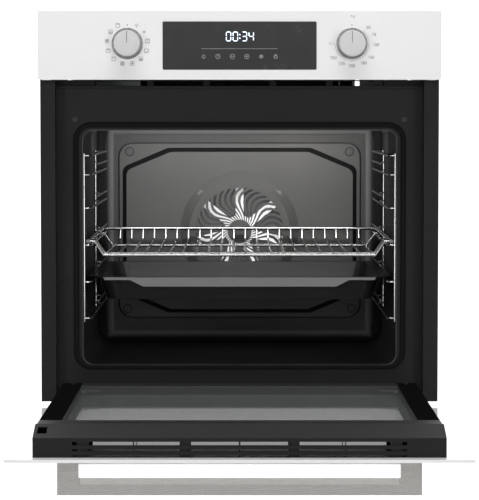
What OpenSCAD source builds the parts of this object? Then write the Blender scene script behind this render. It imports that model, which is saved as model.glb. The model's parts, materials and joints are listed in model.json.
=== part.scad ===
// Built-in electric wall oven with a drop-down glass door.
// Frame: x = 0 is the middle of the front, +y runs to the back, z = 0 is the underside of the carcass,
// y = 0 is the plane where the front flange meets the cabinet. The door is drawn fully open.

/* [Front] */
// Width of the control panel and the door glass
front_w = 594; // [592:1:596]
// Height of the control panel
panel_h = 101; // [98:1:104]
// Thickness of the outer glass sheets
glass_t = 4; // [3:0.5:4]
// How far the front glass stands out of the cabinet plane
front_y = 22; // [22:0.5:23]

/* [Carcass] */
// Outer width of the carcass
carcass_w = 560; // [558:1:562]
// Height of the carcass behind the panel
carcass_h = 570; // [568:1:572]
// Depth from the cabinet plane to the rear panel
carcass_d = 525; // [522:1:530]
// Sheet thickness
sheet = 1; // [0.8:0.1:1.2]
// Radius of the cabinet screw holes
mount_hole_r = 2.75; // [2.5:0.05:3]

/* [Cavity] */
// Width of the cavity between its walls
cavity_w = 480; // [478:1:482]
// Depth of the cavity's rear wall behind the cabinet plane
cavity_back = 430; // [428:1:431]
// Width of the mouth
mouth_w = 471; // [470:1:472]

/* [Door] */
// Length of the door glass from its free edge to its hinged edge
door_l = 486; // [484:1:488]
// Thickness of the door behind the outer glass
door_t = 34; // [33:0.5:34]
// Width of the door's inner frame
frame_w = 524; // [520:1:526]

/* [Handle] */
// Length of the handle
handle_l = 464; // [440:1:480]
// How far the handle stands off the door glass
handle_out = 46; // [44:1:50]

/* [Shelves] */
// Overall width of the wire shelf and the tray
shelf_w = 464; // [463:0.5:464.5]
// Number of cross wires in the shelf
shelf_wires = 22; // [18:1:24]

/* [Fans] */
// Number of blades on the convection fan
fan_blades = 7; // [6:1:9]
// Number of petal slots in the fan guard
petals = 36; // [30:1:40]

/* [Hidden] */
$fn = 48;
eps = 0.01;
fit = 0.05;
panel_z0 = 479;
panel_mid = panel_z0 + 53;
knob_x = 165;
knob_r = 19;
spindle_r = 3;
spindle_back = 18;
hinge_y = -13;
hinge_x = 247.5;
face_y = 20;
face_t = 2;
recess_w = 547;
frame_top = 479;
mouth_z = 228.5;
mouth_h = 353;
cavity_mid = 230;
cavity_h = 376;
cavity_r = 26;
wall_t = 1;
dish_y = cavity_back - 25;
fan_z = 230;
fan_r = 74;
blade_tilt = 52;
cover_w = 406;
cover_h = 293;
cover_t = 1.2;
cover_y = cavity_back - 2;
cover_mid = 231.1;
cover_rise = 8;
guard_y = cover_y - cover_rise - 6;
recess_gap = 2.5;
recess_d = 10;
cover_screws = [[-186, 364.4], [186, 364.4], [-190, 98], [190, 98]];
petal_half = 2.6;
pocket_r = 108;
shaft_r = 4;
blower_y = 125;
blower_z = 500;
blower_l = 280;
rack_x = 234.5;
guide_x = 223.5;
rack_r = 1.75;
levels = [120.4, 175.4, 231.1, 286.8, 337];
guide_gap = 12.6;
shelf_z = levels[2] + 5.1;
shelf_r = 3;
tray_rim_z = levels[1] + 2.1;
door_far = -2;
door_near = door_far - door_l;
glass_top = -4.9;
glass_low = glass_top - glass_t;
door_top = glass_top + door_t;
profile_w = 29;
near_y = -471;
far_y = -12;
near_depth = 91;
far_depth = 32;
profile_t = 1.5;
glass_w = frame_w - 2 * profile_w;
handle_y = -449;
handle_d = 26;
handle_t = 14;
post_w = 27.4;
flange_step = 0.3;

// ---- shared shapes ----
// Rectangle with round corners, centred
module rounded(w, h, r) {
    square([w - 2 * r, h], center = true);
    square([w, h - 2 * r], center = true);
    for (sx = [-1, 1], sz = [-1, 1])
        translate([sx * (w / 2 - r), sz * (h / 2 - r)])
            circle(r = r);
}

// Sweeps a drawing of the x-z plane backwards from y
module deep(y, d) {
    translate([0, y + d, 0])
        rotate([90, 0, 0])
            linear_extrude(d)
                children();
}

// Sweeps a drawing of the y-z plane along x
module wide(x, w) {
    translate([x, 0, 0])
        rotate([90, 0, 90])
            linear_extrude(w)
                children();
}

module box(from, to) {
    translate(from)
        cube(to - from);
}

// Cylinder along y that starts at y
module rod_y(x, y, z, r, l) {
    translate([x, y, z])
        rotate([-90, 0, 0])
            cylinder(r = r, h = l);
}

// Cylinder along x that starts at x
module rod_x(x, y, z, r, l) {
    translate([x, y, z])
        rotate([0, 90, 0])
            cylinder(r = r, h = l);
}

// Straight wire between two points
module wire(a, b, r) {
    d = b - a;
    l = norm(d);
    translate(a)
        rotate([0, acos(d[2] / l), atan2(d[1], d[0])])
            cylinder(r = r, h = l, $fn = 24);
}

// Wire through a list of points with ball joints at the bends
module bent_wire(points, r) {
    for (i = [0 : len(points) - 2])
        wire(points[i], points[i + 1], r);
    for (i = [1 : len(points) - 2])
        translate(points[i])
            sphere(r = r * 1.02, $fn = 24);
}

module both_sides() {
    children();
    mirror([1, 0, 0])
        children();
}

// ---- carcass ----
module base_pan() {
    color("silver")
    difference() {
        union() {
            box([-carcass_w / 2 + sheet, face_y + face_t, 0],
                [carcass_w / 2 - sheet, carcass_d - sheet, sheet]);
            both_sides()
                box([recess_w / 2 + 1.2, -flange_step, 0], [carcass_w / 2 - sheet, face_y + face_t, sheet]);
        }
        for (x = [-200 : 40 : 200])
            box([x - 12, 120, -1], [x + 12, 126, 3]);
    }
}

module side_panel() {
    difference() {
        union() {
            box([carcass_w / 2 - sheet, 0, 0], [carcass_w / 2, carcass_d, carcass_h]);
            box([carcass_w / 2 - sheet, -flange_step, 0], [carcass_w / 2, 1, frame_top]);
        }
        for (z = [480 : 14 : 536])
            box([carcass_w / 2 - 3, 300, z], [carcass_w / 2 + 3, 380, z + 5]);
    }
}

module side_panel_left() {
    color("silver")
    mirror([1, 0, 0])
        side_panel();
}

module side_panel_right() {
    color("silver")
    side_panel();
}

module rear_panel() {
    color("silver")
    difference() {
        box([-carcass_w / 2 + sheet, carcass_d - sheet, sheet],
            [carcass_w / 2 - sheet, carcass_d, carcass_h - sheet]);
        rod_y(0, carcass_d - 3, fan_z, 50, 6);
        for (x = [-60 : 24 : 204], z = [460, 500])
            box([x - 4, carcass_d - 3, z], [x + 4, carcass_d + 3, z + 28]);
        box([-220, carcass_d - 3, 500], [-190, carcass_d + 3, 530]);
    }
}

module rear_fan_housing() {
    w = 190;
    h = 178;
    color("silver")
    difference() {
        deep(carcass_d, 20)
            translate([0, fan_z])
                rounded(w, h, 10);
        deep(carcass_d - 1, 20)
            translate([0, fan_z])
                rounded(w - 2, h - 2, 9);
        for (z = [-60 : 15 : 60])
            box([-60, carcass_d + 15, fan_z + z], [60, carcass_d + 24, fan_z + z + 4]);
    }
}

module top_cover() {
    color("silver")
    difference() {
        box([-carcass_w / 2 + sheet, 1, carcass_h - sheet],
            [carcass_w / 2 - sheet, carcass_d - sheet, carcass_h]);
        for (x = [-180 : 24 : 180], y = [420, 470])
            box([x - 4, y, carcass_h - 3], [x + 4, y + 34, carcass_h + 3]);
    }
}

module duct_plate() {
    color("silver")
    difference() {
        box([-carcass_w / 2 + sheet, 23, 446], [carcass_w / 2 - sheet, carcass_d - sheet, 447]);
        for (x = [-230 : 20 : 230])
            box([x - 3, 480, 440], [x + 3, 505, 450]);
    }
}

// Door catch outline: a square with a round top
module arch(r) {
    translate([-254, 461])
        circle(r = r);
    translate([-254 - r, 452])
        square([2 * r, 9]);
}

// Enamelled front: flange strips, recess walls and the face round the mouth
module front_frame() {
    vents = [[-215, -138], [-128, -54.5], [-44.5, 44.5], [54.5, 128.5], [138.5, 215]];
    color("black")
    difference() {
        union() {
            deep(face_y, face_t)
                translate([-recess_w / 2 - 1.2, 1])
                    square([recess_w + 2.4, frame_top - 1]);
            deep(face_y - 1.5, 1.5 + eps)
                translate([-recess_w / 2, 462.5])
                    square([recess_w, 16.5]);
            deep(face_y - 6, 6 + eps)
                translate([-recess_w / 2, 467])
                    square([recess_w, 3]);
            both_sides() {
                box([recess_w / 2, -1.3, 0], [recess_w / 2 + 1.2, face_y + face_t, frame_top]);
                box([recess_w / 2, -1.3, 0], [carcass_w / 2 + 1, -flange_step, frame_top]);
                box([carcass_w / 2 + 0.2, -1.3, 0], [295.5, 0, frame_top]);
            }
        }
        // arched groove for the door catch
        deep(face_y - 1, 2)
            difference() {
                arch(9);
                translate([0, -1])
                    arch(7.9);
            }
        deep(face_y - 1, 1)
            translate([-recess_w / 2 + 6, 437.6])
                square([recess_w - 12, 24.9]);
        deep(face_y - 10, 20)
            translate([0, mouth_z])
                rounded(mouth_w + 1, mouth_h + 1, 17);
        for (v = vents)
            box([v[0], face_y - 10, 470.6], [v[1], face_y + 5, 477.6]);
        both_sides() {
            for (z = [80, 420])
                rod_y(287.3, -4, z, mount_hole_r, 8);
            rod_y(286.5, -4, 473, 1.5, 8);
            rod_y(245.7, face_y - 5, 420.4, 2, 10);
            rod_y(245.7, face_y - 5, 420.4, 5.2, 6.3);
            box([hinge_x - 3.5, face_y - 5, 1.5], [hinge_x + 3.5, face_y + 5, 14]);
        }
    }
}

module frame_screws() {
    color("dimgray")
    both_sides() {
        rod_y(245.7, face_y + 0.1, 420.4, 4.1, 1.2);
        rod_y(245.7, face_y + 1, 420.4, 1.95, 3.9);
    }
}

// Wrapped cavity walls with the flange round the mouth
module cavity_muffle() {
    lamp_hole = [88, 52];
    color([0.13, 0.15, 0.2])
    difference() {
        union() {
            difference() {
                deep(face_y + face_t, dish_y - face_y - face_t)
                    translate([0, cavity_mid])
                        rounded(cavity_w + 2 * wall_t, cavity_h + 2 * wall_t, cavity_r + wall_t);
                deep(face_y, cavity_back - face_y)
                    translate([0, cavity_mid])
                        rounded(cavity_w, cavity_h, cavity_r);
            }
            deep(face_y + face_t, 1.2)
                difference() {
                    translate([0, cavity_mid])
                        rounded(516, 400, 30);
                    translate([0, mouth_z])
                        rounded(mouth_w, mouth_h, 15);
                }
        }
        box([100 - lamp_hole[0] / 2, 334, 410], [100 + lamp_hole[0] / 2, 334 + lamp_hole[1], 425]);
        translate([-200, 398, 410])
            cylinder(r = 2, h = 20);
        both_sides()
            rod_y(245.7, face_y, 420.4, 2.1, 5);
    }
}

// Rounded transition from the cavity walls to its rear wall, grown by a sheet thickness
module dish(grow) {
    hull()
        for (a = [0, 30, 60, 90])
            deep(dish_y, 25 * sin(a) + grow + eps)
                translate([0, cavity_mid])
                    rounded(cavity_w + 2 * grow - 52 * (1 - cos(a)), cavity_h + 2 * grow - 52 * (1 - cos(a)),
                        cavity_r + grow);
}

// Rear wall with a shallow recess for the fan cover and a round pocket for the fan
module cavity_rear() {
    color([0.13, 0.15, 0.2])
    difference() {
        union() {
            dish(wall_t);
            deep(cavity_back, recess_d + wall_t)
                translate([0, cover_mid])
                    rounded(cover_w + 2 * recess_gap + 2, cover_h + 2 * recess_gap + 2, 25);
            rod_y(0, cavity_back + recess_d, fan_z, pocket_r + wall_t, 13);
        }
        translate([0, -0.02, 0])
            dish(0);
        deep(cavity_back - 2, recess_d + 2)
            translate([0, cover_mid])
                rounded(cover_w + 2 * recess_gap, cover_h + 2 * recess_gap, 24);
        rod_y(0, cavity_back, fan_z, pocket_r, 22);
        rod_y(0, cavity_back, fan_z, 9, 40);
        for (x = [-14, 14])
            rod_y(x, cavity_back, fan_z + 88, 3.6, 40);
        rod_y(-150, cavity_back - 20, 408, 3.6, 40);
    }
}

module insulation() {
    color("khaki")
    difference() {
        deep(25, 443)
            translate([0, 230.5])
                rounded(540, 427, 28);
        deep(24, cavity_back - 22)
            translate([0, 225])
                rounded(cavity_w + 4, 388, 26);
        deep(cavity_back, recess_d + 3)
            translate([0, cover_mid])
                rounded(cover_w + 2 * recess_gap + 5, cover_h + 2 * recess_gap + 5, 26);
        rod_y(0, cavity_back, fan_z, pocket_r + 2, 24);
        rod_y(0, cavity_back, fan_z, 14, 60);
        for (x = [-14, 14])
            rod_y(x, cavity_back, fan_z + 88, 4.5, 60);
        rod_y(-150, cavity_back, 408, 4.5, 60);
        box([50, 328, 410], [150, 392, 450]);
        translate([-200, 398, 410])
            cylinder(r = 4, h = 40);
        both_sides()
            rod_y(245.7, 20, 420.4, 3, 8);
    }
}

module door_gasket() {
    color("black")
    deep(face_y - 3.6, 3.6)
        translate([0, 231])
            difference() {
                rounded(497, 371, 27);
                rounded(481, 355, 19);
            }
}

// ---- heat, light and air inside the cavity ----
module hairpins(x, y0, pitch, count, z, r) {
    for (i = [0 : count - 1])
        rod_x(-x, y0 + i * pitch, z, r, 2 * x);
    for (i = [0 : count - 2])
        translate([(i % 2 == 0 ? 1 : -1) * x, y0 + (i + 0.5) * pitch, z])
            rotate([0, 0, i % 2 == 0 ? -90 : 90])
                rotate_extrude(angle = 180)
                    translate([pitch / 2, 0])
                        circle(r = r);
}

module grill_element() {
    color("gray")
    union() {
        hairpins(150, 70, 44, 6, 408, 3.2);
        rod_y(-150, 290, 408, 3.2, 180);
    }
}

module bottom_element() {
    color("gray")
    hairpins(160, 80, 60, 6, 36, 3.2);
}

module ring_element() {
    color("gray")
    union() {
        for (y = [0, 9])
            translate([0, cavity_back + 6 + y, fan_z])
                rotate([90, 0, 0])
                    rotate_extrude($fn = 96)
                        translate([88, 0])
                            circle(r = 3.2);
        for (x = [-14, 14])
            rod_y(x, cavity_back + 6, fan_z + 88, 3.2, 50);
    }
}

// Outline of the raised middle of the fan cover: a rectangle with long rounded corner cuts
module plateau(grow) {
    hull()
        for (sx = [-1, 1], p = [[118, 126], [184, 98]], sz = [-1, 1])
            translate([sx * p[0], sz * p[1]])
                circle(r = 14 + grow, $fn = 32);
}

// Swept slot of the fan guard, wider towards its outer end
module petal() {
    r0 = 20;
    r1 = 74;
    n = 7;
    inner = [for (i = [0 : n]) [r0 + (r1 - r0) * i / n, 26 * sin(i / n * 150)]];
    polygon(concat(
        [for (p = inner) p[0] * [cos(p[1] - petal_half), sin(p[1] - petal_half)]],
        [for (i = [n : -1 : 0]) inner[i][0] * [cos(inner[i][1] + petal_half), sin(inner[i][1] + petal_half)]]
    ));
}

// Stamped cover in front of the fan: flat corners, raised middle and a fan guard on a cone
module fan_cover() {
    flat_y = cover_y - cover_rise;
    color([0.2, 0.2, 0.21])
    difference() {
        union() {
            deep(cover_y, cavity_back + recess_d - cover_y)
                translate([0, cover_mid])
                    rounded(cover_w, cover_h, 22);
            translate([0, cover_y + eps, cover_mid])
                rotate([90, 0, 0])
                    linear_extrude(cover_rise, scale = [0.965, 0.95], slices = 1)
                        plateau(0);
            translate([0, flat_y + eps, fan_z])
                rotate([90, 0, 0])
                    cylinder(r1 = 100, r2 = 85, h = flat_y - guard_y + eps, $fn = 96);
            rod_y(0, guard_y - 3, fan_z, 9.4, 4);
        }
        deep(cover_y + cover_t, 20)
            translate([0, cover_mid])
                rounded(cover_w - 2 * cover_t, cover_h - 2 * cover_t, 22 - cover_t);
        translate([0, cover_y + cover_t + eps, cover_mid])
            rotate([90, 0, 0])
                linear_extrude(cover_rise, scale = [0.965, 0.95], slices = 1)
                    plateau(-cover_t);
        translate([0, flat_y + cover_t + eps, fan_z])
            rotate([90, 0, 0])
                cylinder(r1 = 98.6, r2 = 83.6, h = flat_y - guard_y, $fn = 96);
        deep(guard_y - 1, 4)
            for (i = [0 : petals - 1])
                translate([0, fan_z])
                    rotate(i * 360 / petals)
                        petal();
        for (s = cover_screws) {
            rod_y(s[0], cover_y - 2, s[1], 2.2, 6);
            deep(cover_y - 1, 1.6)
                translate([s[0], s[1]])
                    difference() {
                        circle(r = 7.6);
                        circle(r = 6.6);
                    }
        }
    }
}

module fan_cover_screws() {
    color("dimgray")
    for (s = cover_screws)
        difference() {
            union() {
                rod_y(s[0], cover_y - 0.8, s[1], 6.3, 0.8);
                rod_y(s[0], cover_y - 2.6, s[1], 4, 2);
                rod_y(s[0], cover_y - 1, s[1], 2.1, 10.9);
            }
            rod_y(s[0], cover_y - 4, s[1], 2, 3);
        }
}

module convection_fan() {
    color("lightgray")
    union() {
        rod_y(0, 421, fan_z, shaft_r, 82);
        rod_y(0, 426, fan_z, 10, 18);
        rod_y(0, 442, fan_z, 26, 1.6);
        for (i = [0 : fan_blades - 1])
            translate([0, 434, fan_z])
                rotate([0, i * 360 / fan_blades - 90, 0])
                    rotate([blade_tilt, 0, 0])
                        translate([7, -8, -0.7])
                            cube([fan_r - 7, 16, 1.4]);
    }
}

module convection_fan_nut() {
    color("silver")
    difference() {
        translate([0, 425.9, fan_z])
            rotate([90, 0, 0])
                cylinder(r = 8, h = 4, $fn = 6);
        rod_y(0, 420, fan_z, shaft_r + fit, 8);
    }
}

module convection_motor() {
    color("dimgray")
    difference() {
        union() {
            box([-32, 478, fan_z - 32], [32, 498, fan_z + 32]);
            rod_y(0, 472, fan_z, 22, 38);
            for (sx = [-1, 1], sz = [-1, 1])
                rod_y(sx * 27, 469, fan_z + sz * 27, 3.5, 34);
        }
        rod_y(0, 470, fan_z, shaft_r + fit, 36);
    }
}

module lamp_housing() {
    color("silver")
    difference() {
        box([52, 330, 419.2], [148, 390, 444]);
        box([53.2, 331.2, 419], [146.8, 388.8, 442.8]);
    }
}

module lamp_bulb() {
    color("white")
    union() {
        box([54, 348, 422], [76, 372, 442]);
        rod_x(76, 360, 431, 5, 44);
        translate([120, 360, 431])
            sphere(r = 5);
    }
}

module lamp_lens() {
    color([0.9, 0.95, 1, 0.5])
    difference() {
        box([52, 330, 406], [148, 390, 417.9]);
        box([54, 332, 408], [146, 388, 419]);
    }
}

module oven_probe() {
    color("silver")
    union() {
        rod_x(-190, 398, 410, 2.5, 32);
        bent_wire([[-190, 398, 410], [-200, 398, 410], [-200, 398, 430], [-200, 398, 434]], 1);
        box([-178, 396, 410], [-172, 400, 417.9]);
    }
}

module safety_cutout() {
    color("tan")
    union() {
        translate([200, 300, 447])
            cylinder(r = 12, h = 9);
        for (x = [192, 204])
            box([x, 299.5, 455], [x + 5, 300.5, 464]);
    }
}

// Terminal box for the supply cable, on the back
module terminal_box() {
    y = carcass_d;
    color("dimgray")
    difference() {
        box([-240, y, 490], [-170, y + 20, 560]);
        box([-237, y - 1, 494], [-173, y + 17, 557]);
        translate([-205, y + 9, 485])
            cylinder(r = 6, h = 12);
    }
}

module blower_housing() {
    color("silver")
    difference() {
        union() {
            box([-150, 60, 447], [150, 190, 556]);
            box([-218, 23, 462], [218, 64, 479]);
        }
        box([-148.8, 61.2, 448.2], [148.8, 188.8, 554.8]);
        box([-216.8, 21, 463.2], [216.8, 66, 477.8]);
        rod_x(-160, blower_y, blower_z, 24, 320);
    }
}

module blower_rotor() {
    blades = 20;
    color("black")
    union() {
        rod_x(-146, blower_y, blower_z, spindle_r, 332);
        for (x = [-blower_l / 2, -0.75, blower_l / 2 - 1.5])
            rod_x(x, blower_y, blower_z, 27, 1.5);
        for (i = [0 : blades - 1])
            translate([0, blower_y, blower_z])
                rotate([i * 360 / blades, 0, 0])
                    translate([-blower_l / 2, 20, -0.5])
                        cube([blower_l, 6, 1]);
    }
}

module blower_motor() {
    color("dimgray")
    difference() {
        union() {
            rod_x(152, blower_y, blower_z, 20, 26);
            box([156, blower_y - 28, blower_z - 30], [172, blower_y + 28, blower_z + 24]);
            box([150, blower_y - 40, blower_z - 3], [152, blower_y + 40, blower_z + 3]);
        }
        rod_x(140, blower_y, blower_z, spindle_r + fit, 50);
    }
}

// ---- racks, shelf and tray ----
// Chrome side rack: a pair of guide wires at each level on uprights at the wall
module rack() {
    y_front = 40;
    y_top = 200;
    y_mid = 290;
    y_back = 396;
    color("silver")
    union() {
        for (z = concat(levels, [366])) {
            bent_wire([[rack_x, y_front, z], [guide_x + 4, y_front, z], [guide_x, y_front + 4, z],
                [guide_x, y_back - 8, z], [cavity_w / 2 - 6, y_back, z]], rack_r);
            rod_x(guide_x, y_mid, z, rack_r - 0.2, rack_x - guide_x);
        }
        for (z = levels) {
            rod_y(guide_x, y_top, z + guide_gap, rack_r, y_back - y_top);
            rod_x(guide_x, y_mid, z + guide_gap, rack_r - 0.2, rack_x - guide_x);
        }
        for (y = [y_front, y_mid])
            translate([rack_x, y, levels[0] - 5])
                cylinder(r = rack_r + 0.3, h = 374 - levels[0]);
        for (y = [56, 380])
            rod_x(guide_x, y, 366, rack_r + 0.4, cavity_w / 2 - guide_x);
    }
}

module rack_left() {
    mirror([1, 0, 0])
        rack();
}

module rack_right() {
    rack();
}

// Wire shelf: a raised rim on three sides and a sunk grid
module wire_shelf() {
    side = shelf_w / 2 - shelf_r;
    drop = 20.7;
    low = shelf_z - drop;
    y0 = 52;
    y1 = 398;
    pitch = 400 / (shelf_wires - 1);
    module cross_bar(y, r, dz) {
        bent_wire([[-side, y, shelf_z], [-side + 9.5, y, shelf_z], [-side + 23.5, y, low + dz],
            [side - 23.5, y, low + dz], [side - 9.5, y, shelf_z], [side, y, shelf_z]], r);
    }
    color("silver")
    union() {
        both_sides()
            rod_y(side, y0, shelf_z, shelf_r, y1 - y0);
        rod_x(-side, y1, shelf_z, shelf_r, 2 * side);
        both_sides()
            translate([side, y1, shelf_z])
                sphere(r = shelf_r * 1.02, $fn = 24);
        cross_bar(y0 + 3, 2.8, 0);
        cross_bar(y0 + 27, 2, 1);
        cross_bar(263, 2, 1);
        for (i = [0 : shelf_wires - 1])
            bent_wire([[-200 + i * pitch, y0 + 3, low + 3.6], [-200 + i * pitch, y1 - 10, low + 3.6],
                [-200 + i * pitch, y1, shelf_z]], 1.6);
    }
}

// Enamelled tray: tapered walls with round corners, hollow rims and a dropped front lip
module baking_tray() {
    y0 = 50;
    y1 = 393;
    deep_z = 35;
    rim = shelf_w / 2 - 0.5;
    wall = 212;
    t = 1.2;
    top = tray_rim_z + 4.1;
    y_mid = (y0 + y1) / 2;
    wide_y = y1 - y0 - 24;
    taper = [wall / (wall - 9), wide_y / (wide_y - 18)];
    corner = 24;
    color("black")
    difference() {
        union() {
            translate([0, y_mid, top - deep_z])
                linear_extrude(deep_z, scale = taper, slices = 1)
                    rounded(2 * wall - 18, wide_y - 18, corner);
            box([-rim, y0, top - t], [rim, y1, top]);
            both_sides() {
                box([rim - 11, y0, tray_rim_z], [rim, y1, tray_rim_z + t]);
                box([rim - t, y0, tray_rim_z], [rim, y1, top]);
            }
            deep(y0, t)
                polygon([[-205, top - 0.3], [-205, top - 4], [-166, top - 4], [-146, top - 14],
                    [146, top - 14], [166, top - 4], [205, top - 4], [205, top - 0.3]]);
        }
        translate([0, y_mid, top - deep_z + t])
            linear_extrude(deep_z, scale = taper, slices = 1)
                rounded(2 * wall - 18 - 2 * t, wide_y - 18 - 2 * t, corner - t);
        both_sides()
            translate([0, 0, tray_rim_z - 1])
                linear_extrude(8)
                    polygon([[205.5, y0 - 1], [rim + 1, y0 - 1], [rim + 1, y0 + 26]]);
    }
}

// ---- control panel ----
module panel_fascia() {
    color("white")
    difference() {
        union() {
            box([-front_w / 2, -front_y, panel_z0], [front_w / 2, -front_y + glass_t, panel_z0 + panel_h]);
            both_sides()
                box([front_w / 2 - 6, -front_y + glass_t, panel_z0],
                    [front_w / 2 - 1, -1, panel_z0 + panel_h - 1]);
        }
        deep(-front_y - 1, glass_t + 2)
            translate([0, panel_z0 + 50])
                rounded(226.6, 71, 2);
        both_sides()
            rod_y(knob_x, -front_y - 1, panel_mid, knob_r + 1.5, glass_t + 2);
    }
}

module panel_bracket() {
    w = front_w / 2 - 7;
    color("silver")
    difference() {
        box([-w, -front_y + glass_t, panel_z0 + 1], [w, 0, carcass_h - 1]);
        box([-w + 1.2, -front_y + glass_t - 1, panel_z0 + 2.2], [w - 1.2, -1.2, carcass_h - 2.2]);
        both_sides()
            rod_y(knob_x, -3, panel_mid, 9, 5);
        box([-30, -3, 540], [30, 2, 560]);
    }
}

module display_window() {
    color([0.1, 0.1, 0.11])
    deep(-front_y, glass_t)
        translate([0, panel_z0 + 50])
            rounded(226, 70.4, 1.8);
}

module display_board() {
    color("darkgreen")
    union() {
        box([-112, -11, panel_z0 + 16], [112, -9.4, panel_z0 + 84]);
        box([-34, -front_y + glass_t + 0.2, panel_z0 + 52], [34, -11 + eps, panel_z0 + 78]);
        for (i = [-2.5 : 2.5])
            rod_y(i * 21.2, -front_y + glass_t + 0.2, panel_z0 + 34, 5, 7.2);
        box([-26, -9.4 - eps, panel_z0 + 30], [-6, -1.4, panel_z0 + 50]);
        box([60, -9.4 - eps, panel_z0 + 30], [84, -2, panel_z0 + 56]);
    }
}

module knob_bezels() {
    color("silver")
    both_sides()
        difference() {
            union() {
                rod_y(knob_x, -front_y - 2.2, panel_mid, knob_r + 4, 2.2);
                rod_y(knob_x, -front_y - 2.2, panel_mid, knob_r + 1.4, 17);
            }
            rod_y(knob_x, -front_y - 3, panel_mid, knob_r + 0.4, 20);
        }
}

// Rotary switch body behind the bracket, with a bore for its spindle
module switch_body(x, tail) {
    difference() {
        union() {
            box([x - 21, 4, panel_mid - 21], [x + 21, 30, panel_mid + 21]);
            for (s = [-1, 1])
                box([x + s * 17 - 3, 0, panel_mid - 6], [x + s * 17 + 3, 4 + eps, panel_mid + 6]);
            rod_y(x, 30 - eps, panel_mid, tail, 8);
        }
        rod_y(x, 3, panel_mid, spindle_r + fit, spindle_back + 1);
    }
}

module mode_switch() {
    color("ivory")
    switch_body(-knob_x, 12);
}

module thermostat() {
    color("gainsboro")
    switch_body(knob_x, 16);
}

module spindle(x) {
    rod_y(x, -25.5, panel_mid, spindle_r, 25.5 + spindle_back);
}

module mode_spindle() {
    color("silver")
    spindle(-knob_x);
}

module thermostat_spindle() {
    color("silver")
    spindle(knob_x);
}

// Cap with a hub at the back and a pointer groove from its top edge to the middle
module knob(x) {
    face = -41;
    difference() {
        union() {
            rod_y(x, face + 1.2, panel_mid, knob_r, 18.8);
            rod_y(x, face, panel_mid, knob_r - 1.2, 2);
            rod_y(x, -21 - eps, panel_mid, 6, 10);
        }
        rod_y(x, -38, panel_mid, spindle_r + fit, 30);
        box([x - 0.6, face - 1, panel_mid], [x + 0.6, face + 0.6, panel_mid + knob_r + 1]);
    }
}

module mode_knob() {
    color("silver")
    knob(-knob_x);
}

module thermostat_knob() {
    color("silver")
    knob(knob_x);
}

// ---- hinges ----
module hinge_receivers() {
    color("silver")
    both_sides()
        difference() {
            box([hinge_x - 5.5, face_y + face_t, 1], [hinge_x + 5.5, 74, 15.5]);
            box([hinge_x - 3, face_y, 1.8], [hinge_x + 3, 80, 13.5]);
        }
}

// Flat arm hooked into the carcass, with an eye for the hinge pin and a crank lug
module hinge_arms() {
    color("gray")
    both_sides()
        difference() {
            wide(hinge_x - 2, 4)
                union() {
                    translate([hinge_y, 0])
                        circle(r = 4);
                    polygon([[hinge_y, -4], [-1, -4], [14, 2.4], [70, 2.4], [70, 13], [18, 13], [-6, 5],
                        [hinge_y + 5.5, 12], [hinge_y + 1, 12], [hinge_y - 2, 3]]);
                }
            rod_x(hinge_x - 5, hinge_y, 0, 2 + fit, 10);
        }
}

module hinge_pins() {
    color("silver")
    both_sides()
        union() {
            rod_x(hinge_x - 9, hinge_y, 0, 2, 18);
            rod_x(hinge_x - 10, hinge_y, 0, 3, 1.2);
        }
}

// Channel inside each door side profile that carries the pin and the spring
module hinge_channels() {
    color("gray")
    both_sides()
        difference() {
            union() {
                for (x = [-7.5, 5.5])
                    wide(hinge_x + x, 2) {
                        translate([hinge_y, 0])
                            circle(r = 4);
                        translate([-190, -4])
                            square([190 + hinge_y, 8]);
                        translate([-190, -4])
                            square([160, 26]);
                    }
                box([hinge_x - 7.5, -190, 20], [hinge_x + 7.5, -44, 22]);
                box([hinge_x - 7.5, -190, -4], [hinge_x + 7.5, -188, 22]);
            }
            rod_x(hinge_x - 9, hinge_y, 0, 2 + eps, 18);
        }
}

// Pull strap beside the arm that carries the front end of the spring
module hinge_link() {
    union() {
        wide(hinge_x + 2.4, 2)
            translate([-62, 8.5])
                square([50, 5]);
        box([hinge_x - 4.5, -64, 5], [hinge_x + 4.5, -60, 17]);
    }
}

module hinge_link_left() {
    color("silver")
    mirror([1, 0, 0])
        hinge_link();
}

module hinge_link_right() {
    color("silver")
    hinge_link();
}

module hinge_springs() {
    rings = 16;
    color("silver")
    both_sides()
        union() {
            for (i = [0 : rings - 1])
                translate([hinge_x, -180 + i * 5.6, 11])
                    rotate([90, 0, 0])
                        rotate_extrude($fn = 24)
                            translate([3.4, 0])
                                circle(r = 1);
            rod_y(hinge_x + 3.4, -182, 11, 0.9, 88);
            rod_y(hinge_x - 3.4, -182, 11, 0.9, 88);
        }
}

// ---- door, drawn open ----
module door_outer_glass() {
    color("white")
    difference() {
        box([-front_w / 2, door_near, glass_low], [front_w / 2, door_far, glass_top]);
        both_sides()
            translate([handle_l / 2 - post_w / 2, handle_y, glass_low - 1])
                cylinder(r = 3.2, h = glass_t + 2);
    }
}

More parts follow.
